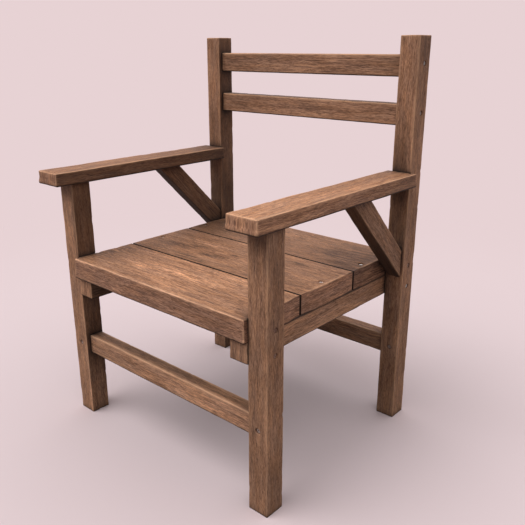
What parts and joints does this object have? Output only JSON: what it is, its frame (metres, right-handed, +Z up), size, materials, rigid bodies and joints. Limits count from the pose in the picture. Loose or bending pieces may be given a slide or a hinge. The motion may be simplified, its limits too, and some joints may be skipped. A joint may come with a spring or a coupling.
{
  "type": "rustic wooden armchair",
  "caption": "Rustic open armchair of square timber: a board seat, flat armrests on diagonal braces, straight posts with level back slats, low stretchers, sunk slotted screws.",
  "frame": {"origin": "on the floor, under the centre of the bounding box", "axes": "+Z up, +X to the right of a viewer who faces the front of the chair, -Y out of the front"},
  "size_m": [0.68, 0.586, 0.931],
  "materials": {
    "frame_timber": "worn, dark stained, soft edges",
    "seat_timber": "worn, lighter tan, streaked grain",
    "dowel_wood": "plain turned dowel",
    "screw_steel": "dull grey, slotted"
  },
  "bodies": {
    "root": {"front_leg_left": "frame_timber", "front_leg_right": "frame_timber", "back_post_left": "frame_timber", "back_post_right": "frame_timber", "side_rail_left": "frame_timber", "side_rail_right": "frame_timber", "seat_board_front": "seat_timber", "seat_board_middle": "seat_timber", "seat_board_rear": "seat_timber", "armrest_left": "seat_timber", "armrest_right": "seat_timber", "arm_brace_left": "frame_timber", "arm_brace_right": "frame_timber", "back_slat_upper": "frame_timber", "back_slat_lower": "frame_timber", "front_stretcher": "frame_timber", "rear_stretcher": "frame_timber", "side_screws": "screw_steel", "seat_screws": "screw_steel", "slat_screws": "screw_steel", "stretcher_screws": "screw_steel", "arm_screws": "screw_steel", "brace_screws": "screw_steel", "brace_dowels": "dowel_wood"}
  },
  "joints": []
}
